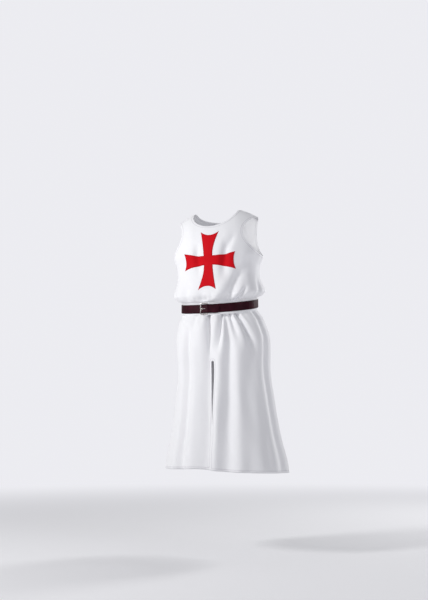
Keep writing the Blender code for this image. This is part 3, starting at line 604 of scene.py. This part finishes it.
# Panel from its outer grid: hems and seams in relief, the wall behind it, its cloth map and stitch row
def sewPanel(name, outer, normal, angles, across, number, slitLines=(), skipColumn=None):
    armhole, side, top = outer[-chestRows - 1:], outer[:-chestRows], outer[-1]
    hemLines = [outer[0], top[np.abs(angles) <= neckAngle + 1e-4], armhole[:, 0], armhole[:, -1], *slitLines]
    seamLines = [side[:, 0], side[:, -1], top[angles <= -neckAngle + 1e-4], top[angles >= neckAngle - 1e-4]]
    up, edge, seam = pathLength(outer, 0), distanceTo(outer, hemLines), distanceTo(outer, seamLines)
    outer = outer + (hemRelief(edge) + seamRelief(seam))[..., None] * normal
    points, quads, used = wallMesh(outer, outer - tunic["wall"] * normal, number, skipColumn)
    made = meshObject(name, points, quads, whiteTwill)
    u, v, fromStitch = (np.tile(np.ravel(values)[used], 2)
                        for values in (across, up, edge - tunic["hem"] + tunic["stitchInset"]))
    pointUv(made, u, v)
    pointAttribute(made, "fromStitch", fromStitch)
    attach(made, "root")
    return made


# The two side seams and the shoulder seams keep their wall in the seam's own plane
def flattenAtSeams(normal, angles):
    onShoulder = np.abs(angles) >= neckAngle - 1e-4
    normal[:-chestRows, [0, -1], 1] = 0.0
    normal[-1, onShoulder, 1] = 0.0
    return unit(normal)


# Columns and rows of the panels: low end, top end, steps. Above the hips both have the same rows, which lie
# closer where the belt holds the cloth, and above the underarms the chest rows.
upperRows = ((-0.535, -0.491, 10), (-0.491, -0.471, 10), (-0.471, -0.4255, 3), (-0.4255, -0.397, 14),
             (-0.397, -0.358, 12), (-0.358, -0.228, 22))
chestRows = 40
frontCut = {
    "columns": ((-90, -neckAngle, 40), (-neckAngle, 0, 54), (0, neckAngle, 62), (neckAngle, 90, 52)),
    "rows": ((-1.203, -0.990, 24), (-0.990, -0.734, 36), (-0.734, -0.729, 2), (-0.729, -0.723, 4),
             (-0.723, -0.720, 6), (-0.720, -0.535, 26), *upperRows),
}


def makeFront():
    angles, rows = columnAngles(*frontCut["columns"]), spans(*frontCut["rows"])
    share, height = panelGrid(angles, rows, tunic["frontNeckDepth"], frontArmhole)
    points = clothPoint(share, height, -1)
    centre = int(np.argmin(np.abs(angles)))

    # the slit: a gap with a round top, which closes downwards until the left lip lies over the right one
    right, left = points[:, :centre + 1].copy(), points[:, centre:].copy()
    level = np.append(rows, np.full(chestRows, rows[-1]))
    depth = tunic["slitTop"] - level
    opening = np.sqrt(1 - (1 - np.clip(depth / tunic["slitRounding"], 0, 1)) ** 2)
    closing = np.clip(depth / (tunic["slitTop"] - tunic["slitEnd"]), 0, 1) ** tunic["slitClosing"]
    crossing = ease(-level, *(start - tunic["slitClosed"] for start in tunic["slitCrossing"]))
    slit = level < tunic["slitTop"] - 1e-6
    halfGap = tunic["slitHalfGap"] * opening * (1 - closing) + tunic["seamGap"] * slit
    near = np.exp(-(angles / tunic["slitSpread"]) ** 2)
    right[:, :, 0] -= halfGap[:, None] * near[:centre + 1]
    left[:, :, 0] += (halfGap - (tunic["slitOverlap"] + tunic["seamGap"]) * crossing)[:, None] * near[centre:]
    # the lip rolls: it lies highest a little beside the edge
    roll = np.exp(-((angles[centre:] - tunic["slitLiftPlace"]) / tunic["slitLiftAngle"]) ** 2)
    rollStart = tunic["slitLiftStart"] - tunic["slitTop"]
    left[:, :, 1] -= (tunic["slitLift"] * ease(-level, rollStart, -tunic["slitClosed"]))[:, None] * roll
    outer = np.concatenate([right, left], axis=1)
    doubled = np.concatenate([angles[:centre + 1], angles[centre:]])

    # above the slit the two halves share their normals
    normals = [gridNormals(right), gridNormals(left)]
    shared = normals[0][~slit, -1] + normals[1][~slit, 0]
    normals[0][~slit, -1] = shared
    normals[1][~slit, 0] = shared
    normal = np.concatenate(normals, axis=1)
    chest = slice(len(rows) + 1, None)
    normal[chest] = np.insert(clothNormals(share[chest], height[chest], -1), centre, 0, axis=1)
    normal[chest, centre] = normal[chest, centre + 1]
    normal = flattenAtSeams(normal, doubled)

    across = np.concatenate([-pathLength(right[:, ::-1], 1)[:, ::-1], pathLength(left, 1)], axis=1)
    slitRows = np.append(slit[1:], False) | slit
    slitLines = (outer[slitRows, centre], outer[slitRows, centre + 1])
    number = gridNumbers(outer)
    number[~slit, centre + 1] = number[~slit, centre]
    made = sewPanel("tunicFront", outer, normal, doubled, across, number, slitLines, centre)
    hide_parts("front_panel")
    return made


backCut = {
    "columns": ((-90, -neckAngle, 50), (-neckAngle, neckAngle, 100), (neckAngle, 90, 50)),
    "rows": ((-1.203, -0.990, 24), (-0.990, -0.720, 34), (-0.720, -0.535, 28), *upperRows),
}


# The back's columns run from the wearer's left seam to the right one, so that its faces point outwards
def makeBack():
    angles, rows = columnAngles(*backCut["columns"]), spans(*backCut["rows"])
    share, height = panelGrid(angles, rows, tunic["backNeckDepth"], backArmhole)
    outer = clothPoint(share[:, ::-1], height[:, ::-1], 1)
    normal = gridNormals(outer)
    chest = slice(len(rows) + 1, None)
    normal[chest] = clothNormals(share[chest, ::-1], height[chest, ::-1], 1)
    normal = flattenAtSeams(normal, angles)
    across = pathLength(outer, 1)
    across -= across[:, -1:] / 2
    made = sewPanel("tunicBack", outer, normal, angles, across, gridNumbers(outer))
    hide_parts("back_panel")
    return made


tunicFront = makeFront()
tunicBack = makeBack()
print("front and back made")

cross = {
    "height": -0.268,
    "tilt": -1.4,              # degrees, its top leans to the wearer's left
    "waist": 0.042,
    "sideArm": (0.123, 0.078, 0.009),  # reach, width at the end, how far the end curves in
    "uprightArm": (0.138, 0.087, 0.018),
    "flare": 1.6,              # more keeps the arms narrow for longer
    "seat": 0.0003,
    "thickness": 0.0008,
    "turnedEdge": 0.0012,      # the edge is turned under and pressed
    "pressedShare": 0.3,
    "stitch": 0.0025,          # from the edge to the row of stitches
    "steps": (40, 24),
    "chestHalfWidth": 0.205,   # a first guess for finding the cloth under a point
    "guesses": 12,
}


# Point of the front under a place in the front plane: share and height are moved by what x and z are off
def frontAt(x, z):
    share, height = x / cross["chestHalfWidth"], z.copy()
    for guess in range(cross["guesses"]):
        here = clothPoint(share, height, -1)
        share = share + (x - here[..., 0]) / cross["chestHalfWidth"]
        height = height + (z - here[..., 2])
    return clothPoint(share, height, -1)


# Places turned in the front plane: (a cos - b sin, a sin + b cos)
def turnedPlaces(a, b, angle):
    c, s = math.cos(angle), math.sin(angle)
    return np.stack([a * c - b * s, a * s + b * c], axis=-1)


# Four arms and a square middle, each a grid. An arm's half width grows as a power of the way out, and its end
# curves in as a parabola. All are set on the cloth and given a wall.
def makeCross():
    steps, wide = cross["steps"]
    tilt = math.radians(cross["tilt"])
    s, t = np.meshgrid(np.linspace(0, 1, steps + 1), np.linspace(-1, 1, wide + 1), indexing="ij")
    square = cross["waist"] / 2
    parts, edges = [], []
    for turn in range(4):
        reach, end, hollow = (cross["sideArm"], cross["uprightArm"])[turn % 2]
        half = square + s ** cross["flare"] * (end - cross["waist"]) / 2
        along = square + s * (reach - hollow * (1 - t * t) * s - square)
        parts.append(turnedPlaces(along, half * t, turn * math.pi / 2 + tilt))
        edges.append(np.minimum(half * (1 - np.abs(t)), (1 - s) * (reach - square) * 0.95))
    line = np.linspace(-square, square, wide + 1)
    a, b = np.meshgrid(line, line, indexing="ij")
    parts.append(turnedPlaces(a, b, tilt))
    edges.append(np.hypot(square - np.abs(a), square - np.abs(b)))

    quads, start = [], 0
    for part in parts:
        number = gridNumbers(part) + start
        cells = np.stack([number[:-1, :-1], number[1:, :-1], number[1:, 1:], number[:-1, 1:]], axis=-1)
        quads.append(cells.reshape(-1, 4))
        start += number.size
    flat = np.vstack([part.reshape(-1, 2) for part in parts])
    # points that the parts share become one, with the smaller of their distances to the edge
    first, same = np.unique(np.round(flat, 6), axis=0, return_index=True, return_inverse=True)[1:]
    flat, quads = flat[first], same.ravel()[np.vstack(quads)]
    edge = np.full(len(first), np.inf)
    np.minimum.at(edge, same.ravel(), np.concatenate([part.ravel() for part in edges]))

    x, z = flat[:, 0], flat[:, 1] + cross["height"]
    base = frontAt(x, z)
    nudge = 0.002
    normal = unit(np.cross(frontAt(x + nudge, z) - frontAt(x - nudge, z),
                           frontAt(x, z + nudge) - frontAt(x, z - nudge)))
    full = ease(edge, 0.0, cross["turnedEdge"]) * (1 - cross["pressedShare"]) + cross["pressedShare"]
    low = base + cross["seat"] * normal
    high = base + (cross["seat"] + cross["thickness"] * full)[:, None] * normal
    made = meshObject("crossApplique", np.vstack([high, low]), shellQuads(quads, len(x)), redTwill)
    pointUv(made, np.tile(x, 2), np.tile(z, 2))
    pointAttribute(made, "fromStitch", np.tile(edge - cross["stitch"], 2))
    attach(made, "root")
    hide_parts("cross")
    return made


crossApplique = makeCross()
print("cross made")

belt = {
    "height": tunic["beltHeight"],
    "width": 0.040,
    "thickness": 0.0028,
    "seat": 0.0004,
    "tailSeat": 0.0040,        # the tail lies over the strap's own start
    "tailLength": 0.072,
    "tailTip": 0.014,
    "tailDroop": 0.0030,       # the loose tail hangs a little
    "ramp": 0.012,
    "bulge": 0.0022,           # the strap rises over the frame beside the buckle
    "bulgePlace": 0.017,
    "bulgeAngle": 2.6,
    "buckleGap": 0.0008,
    "buckleAngle": -9.5,
    "stations": 420,
    "edgeRound": 0.0011,
    "edgeLine": 0.0032,        # a creased line runs this far from each edge
    "lineDepth": 0.00028,
    "lineWidth": 0.0006,
    "wearWidth": 0.0022,
    "ripples": ((0.0004, 31, 0.0), (0.0003, 53, 1.3)),  # height, waves round the body, phase
}
buckle = {
    "width": 0.036,
    "length": 0.054,
    "bar": 0.0044,
    "barThickness": 0.0032,
    "outerBar": 0.0048,        # how far the bars lie out from the strap's seat
    "hingeBar": 0.0016,
    "corner": 0.006,
    "squareness": 0.75,        # 1 is a round bar, less is squarer
    "prong": 0.0011,           # half its thickness
    "prongWidth": 1.3,         # times its thickness
    "prongGap": 0.0003,
    "prongBend": ((0.0115, 0.0028, 1.0), (0.0030, 0.0074, 1.0), (-0.0040, 0.0085, 1.0)),
    "prongTip": ((-0.0150, 0.95), (-0.0172, 0.60)),  # along the strap, share of the prong's thickness
}


beltRing = {name: float(ringValue(name, belt["height"])) for name in ringColumn}


# Seat of the belt: the ring of the tunic at the belt's height, without folds
def beltSeat(angle):
    share, depthShare = unitRing(angle)
    x, y = share * beltRing["width"] + beltRing["sideways"], -depthShare * beltRing["depth"]
    z = belt["height"] + beltRing["frontDrop"] * y / beltRing["depth"]
    return np.stack([x, y, z], axis=-1)


# Outward direction of that ring: the superellipse's own gradient
def beltOutward(angle):
    share, depthShare = unitRing(angle)
    power = tunic["roundness"] - 1
    x = np.sign(share) * np.abs(share) ** power / beltRing["width"]
    y = -np.sign(depthShare) * np.abs(depthShare) ** power / beltRing["depth"]
    return unit(np.stack([x, y, np.zeros_like(x)], axis=-1))


# The belt's seat one degree before the buckle's middle, at it and one degree after it
atBuckle = beltSeat(belt["buckleAngle"] + np.array([-1.0, 0.0, 1.0]))
metresPerDegree = np.linalg.norm(atBuckle[2] - atBuckle[0]) / 2


def beltAngle(distance):
    return belt["buckleAngle"] + distance / metresPerDegree


# Strap: a flat profile with rounded edges carried once round and on over its own start, to a rounded tip
def makeBelt():
    start = beltAngle(buckle["width"] / 2 + belt["buckleGap"])
    end, tipStart = beltAngle(belt["tailLength"]) + 360, beltAngle(belt["tailLength"] - belt["tailTip"]) + 360
    ramp = beltAngle(np.array([-belt["ramp"], belt["ramp"]])) + 360
    station = np.concatenate([np.linspace(start, ramp[0] - 2, belt["stations"]),
                              np.linspace(ramp[0] - 1.5, tipStart, 60),
                              tipStart + (end - tipStart) * np.sin(np.linspace(0.05, 1, 14) * math.pi / 2)])
    seat = belt["seat"] + (belt["tailSeat"] - belt["seat"]) * ease(station, ramp[0], ramp[1])
    fromBulge = station - beltAngle(belt["bulgePlace"]) - 360
    seat = seat + belt["bulge"] * np.exp(-(fromBulge / belt["bulgeAngle"]) ** 2)
    tip = np.clip((station - tipStart) / (end - tipStart), 0, 1)
    half = belt["width"] / 2 * np.sqrt(1 - 0.96 * tip**2.4)
    droop = -belt["tailDroop"] * ease(station, ramp[1], end)

    # profile: places across from -1 to 1 on the outer face and back on the inner one
    level = np.linspace(-1, 1, 33)
    fromEdge = (1 - np.abs(level)) * belt["width"] / 2
    round_ = np.sqrt(np.clip(1 - (1 - np.clip(fromEdge / belt["edgeRound"], 0, 1)) ** 2, 0, 1))
    groove = belt["lineDepth"] * np.exp(-((fromEdge - belt["edgeLine"]) / belt["lineWidth"]) ** 2)
    outward = belt["thickness"] / 2 + belt["thickness"] / 2 * round_ - groove
    inward = belt["thickness"] / 2 - belt["thickness"] / 2 * round_
    across = np.concatenate([level, level[::-1][1:-1]])
    rise = np.concatenate([outward, inward[::-1][1:-1]])
    wear = np.concatenate([1 - ease(fromEdge, 0.0, belt["wearWidth"]), np.full(len(level) - 2, 0.6)])

    # slight ripple of used leather, which stops before the overlap
    ripple = sum(size * np.sin(np.radians(station) * waves + phase) for size, waves, phase in belt["ripples"])
    ripple = ripple * (1 - ease(station, ramp[0] - 6, ramp[0]))
    base = beltSeat(station)[:, None, :] + np.zeros((1, len(across), 1))
    base[..., 2] += across * half[:, None] + droop[:, None]
    out = beltOutward(station)
    base += (seat[:, None] + rise + np.maximum(ripple, 0)[:, None])[..., None] * out[:, None, :]
    number = gridNumbers(base)
    made = meshObject("beltStrap", base.reshape(-1, 3), tubeQuads(number[:-1], number[1:]), oxbloodLeather)
    closeEnds(made)
    pointAttribute(made, "edgeWear", np.tile(wear, len(station)))
    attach(made, "root")
    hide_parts("belt_strap")


# From the buckle's own axes to the tunic's: X along the strap, Y inwards to the body, Z up across it
def buckleMatrix():
    behind, middle, ahead = (Vector(place) for place in atBuckle)
    along = (ahead - behind).normalized()
    inward = -Vector(beltOutward(np.array(belt["buckleAngle"])))
    up = along.cross(inward).normalized()
    inward = up.cross(along).normalized()
    return Matrix.Translation(middle) @ Matrix((along, inward, up)).transposed().to_4x4()


# Bar of the buckle: a ring of points at every station, where a loop joins the last one to the first
def barObject(name, sections, loop):
    number = gridNumbers(sections)
    ahead = np.roll(number, -1, axis=0) if loop else number[1:]
    number = number if loop else number[:-1]
    made = meshObject(name, sections.reshape(-1, 3), tubeQuads(number, ahead), buckleNickel)
    closeEnds(made)
    made.data.transform(buckleMatrix())
    return made


# Frame: a squarish bar carried round a rectangle with rounded corners, and sloping out from the hinge bar
def makeBuckle():
    halfX, halfZ = (buckle["width"] - buckle["bar"]) / 2, (buckle["length"] - buckle["bar"]) / 2
    corner = buckle["corner"]
    step = np.linspace(0, math.pi / 2, 11)
    places, outs = [], []
    for turn, (sx, sz) in enumerate(((1, 1), (-1, 1), (-1, -1), (1, -1))):
        out = np.stack([np.cos(turn * math.pi / 2 + step), np.sin(turn * math.pi / 2 + step)], axis=-1)
        places.append(np.array([sx * (halfX - corner), sz * (halfZ - corner)]) + corner * out)
        outs.append(out)
    place, out = np.vstack(places), np.vstack(outs)
    around = np.linspace(0, 2 * math.pi, 20, endpoint=False)
    waves = np.array([np.cos(around), np.sin(around)])
    wide, high = np.sign(waves) * np.abs(waves) ** buckle["squareness"]
    flat, thick = wide * buckle["bar"] / 2, high * buckle["barThickness"] / 2
    slope = (buckle["outerBar"] - buckle["hingeBar"]) / (2 * halfX)
    px = place[:, :1] + flat * out[:, :1]
    pz = place[:, 1:] + flat * out[:, 1:]
    py = -((buckle["outerBar"] + buckle["hingeBar"]) / 2 - slope * px) - thick
    made = barObject("buckleFrame", np.stack([px, py, pz], axis=-1), True)
    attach(made, "root")
    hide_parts("buckle_frame")


# Prong: a round wire from the hinge bar, bent out through the strap and resting on the outer bar. Its path
# has a place along the strap, a distance out and a share of its thickness.
def makeProng():
    rest = buckle["outerBar"] + buckle["barThickness"] / 2 + buckle["prong"] + buckle["prongGap"]
    hinge = buckle["width"] / 2 - buckle["bar"] - buckle["prongGap"]
    path = np.array([(hinge, 0.0020, 1.0), *buckle["prongBend"],
                     *((along, rest, thick) for along, thick in buckle["prongTip"])])
    s = np.linspace(0, len(path) - 1, 41)
    at = np.clip(s.astype(int), 0, len(path) - 2)
    share = (s - at)[:, None]
    before, after = path[np.maximum(at - 1, 0)], path[np.minimum(at + 2, len(path) - 1)]
    a, b = path[at], path[at + 1]
    # cubic through the path's points
    bend = 2 * before - 5 * a + 4 * b - after + share * (3 * (a - b) + after - before)
    curve = a + 0.5 * share * (b - before + share * bend)
    around = np.linspace(0, 2 * math.pi, 14, endpoint=False)
    radius = buckle["prong"] * np.clip(curve[:, 2:], 0.3, 1.0)
    radius[[0, -1]] *= 0.35  # both ends are rounded off
    x = curve[:, :1] + np.zeros((1, len(around)))
    y, z = -(curve[:, 1:2] + radius * np.sin(around)), buckle["prongWidth"] * radius * np.cos(around)
    made = barObject("bucklePin", np.stack([x, y, z], axis=-1), False)
    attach(made, "root")
    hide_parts("buckle_prong")


makeBelt()
makeBuckle()
makeProng()
print("belt and buckle made")

studio = {
    "floorHeight": -1.56,
    "floorSize": 120.0,
    "floorFade": (0.8, 6.0),  # from the paper's own colour to the backdrop's
    "paper": "#eeeef0",
    "backdrop": "#fafaff",
    "sky": 0.31,
    "seenSky": 0.88,
    "floorGlow": 0.10,
    "cameraTurn": 18.84,
    "cameraDistance": 3.489,
    "cameraHeight": -1.073,
    "aimSideways": -0.023,
    "aimHeight": -0.425,
    "fieldOfView": 43.26,
    "cameraRoll": -0.23,
    # name, place, target, size, power in watts, colour
    "lights": (
        ("keyLight", (-2.35, -2.55, 1.0), (0, 0, -0.6), 0.8, 83, "#ffffff"),
        ("fillLight", (2.9, -1.9, 0.2), (0, 0, -0.7), 1.2, 11, "#f4f6ff"),
        ("backLight", (1.8, 2.8, 0.9), (0, 0, -0.6), 1.0, 62, "#ffffff"),
    ),
}


# Flat paper floor, which fades into the colour of the backdrop with distance from the tunic
def makeFloor():
    half = studio["floorSize"] / 2
    points = [(x * half, y * half, studio["floorHeight"]) for x, y in ((-1, -1), (1, -1), (1, 1), (-1, 1))]
    material, tree, shader = startMaterial("pale paper")
    setInputs(tree, shader, {"Base Color": linear(studio["paper"]), "Roughness": 0.9})
    place = addNode(tree, "ShaderNodeTexCoord")
    away = addNode(tree, "ShaderNodeVectorMath", {0: (place, "Object")}, operation="LENGTH")
    nearest, farthest = studio["floorFade"]
    share = addNode(tree, "ShaderNodeMapRange", {
        "Value": (away, "Value"), "From Min": nearest, "From Max": farthest, "To Min": studio["floorGlow"]},
        interpolation_type="SMOOTHSTEP")
    glow = addNode(tree, "ShaderNodeEmission", {
        "Color": linear(studio["backdrop"]), "Strength": studio["seenSky"]})
    mixed = addNode(tree, "ShaderNodeMixShader", {0: (share, 0), 1: (shader, 0), 2: (glow, 0)})
    setInputs(tree, tree.nodes["Material Output"], {"Surface": (mixed, 0)})
    meshObject("floor", points, [(0, 1, 2, 3)], material, False)


# Round soft light that faces its target
def makeLight(name, place, target, size, power, color):
    data = bpy.data.lights.new(name, "AREA")
    data.shape, data.size, data.energy, data.color = "DISK", size, power, linear(color)[:3]
    made = addObject(name, data)
    made.location = place
    made.rotation_euler = (Vector(target) - Vector(place)).to_track_quat("-Z", "Y").to_euler()


# Camera where the photo was taken from, by a turn round the tunic, a distance and a height
def makeCamera():
    turn, roll = math.radians(studio["cameraTurn"]), math.radians(studio["cameraRoll"])
    right = Vector((math.cos(turn), math.sin(turn), 0))
    back = Vector((math.sin(turn), -math.cos(turn), 0))
    aside, up = studio["aimSideways"] * right, Vector((0, 0, 1))
    eye = aside + studio["cameraDistance"] * back + studio["cameraHeight"] * up
    target = aside + studio["aimHeight"] * up
    ahead = (target - eye).normalized()
    side = ahead.cross(up).normalized()
    up = side.cross(ahead)
    rolledSide = math.cos(roll) * side + math.sin(roll) * up
    rolledUp = -math.sin(roll) * side + math.cos(roll) * up
    data = bpy.data.cameras.new("camera")
    data.sensor_fit = "VERTICAL"
    data.angle_y = math.radians(studio["fieldOfView"])
    data.clip_end = 60
    made = addObject("camera", data)
    facing = Matrix((rolledSide, rolledUp, -ahead)).transposed().to_4x4()
    made.matrix_world = Matrix.Translation(eye) @ facing
    bpy.context.scene.camera = made


world = bpy.data.worlds.new("studio")
world.use_nodes = True
bpy.context.scene.world = world
background = world.node_tree.nodes["Background"]
# the backdrop is seen brighter than it lights the cloth
seen = addNode(world.node_tree, "ShaderNodeLightPath")
strength = addNode(world.node_tree, "ShaderNodeMapRange", {
    "Value": (seen, "Is Camera Ray"), "To Min": studio["sky"], "To Max": studio["seenSky"]})
setInputs(world.node_tree, background, {"Color": linear(studio["backdrop"]), "Strength": (strength, 0)})
bpy.context.scene.view_settings.view_transform = "Standard"
makeFloor()
for light in studio["lights"]:
    makeLight(*light)
makeCamera()
print("studio made")
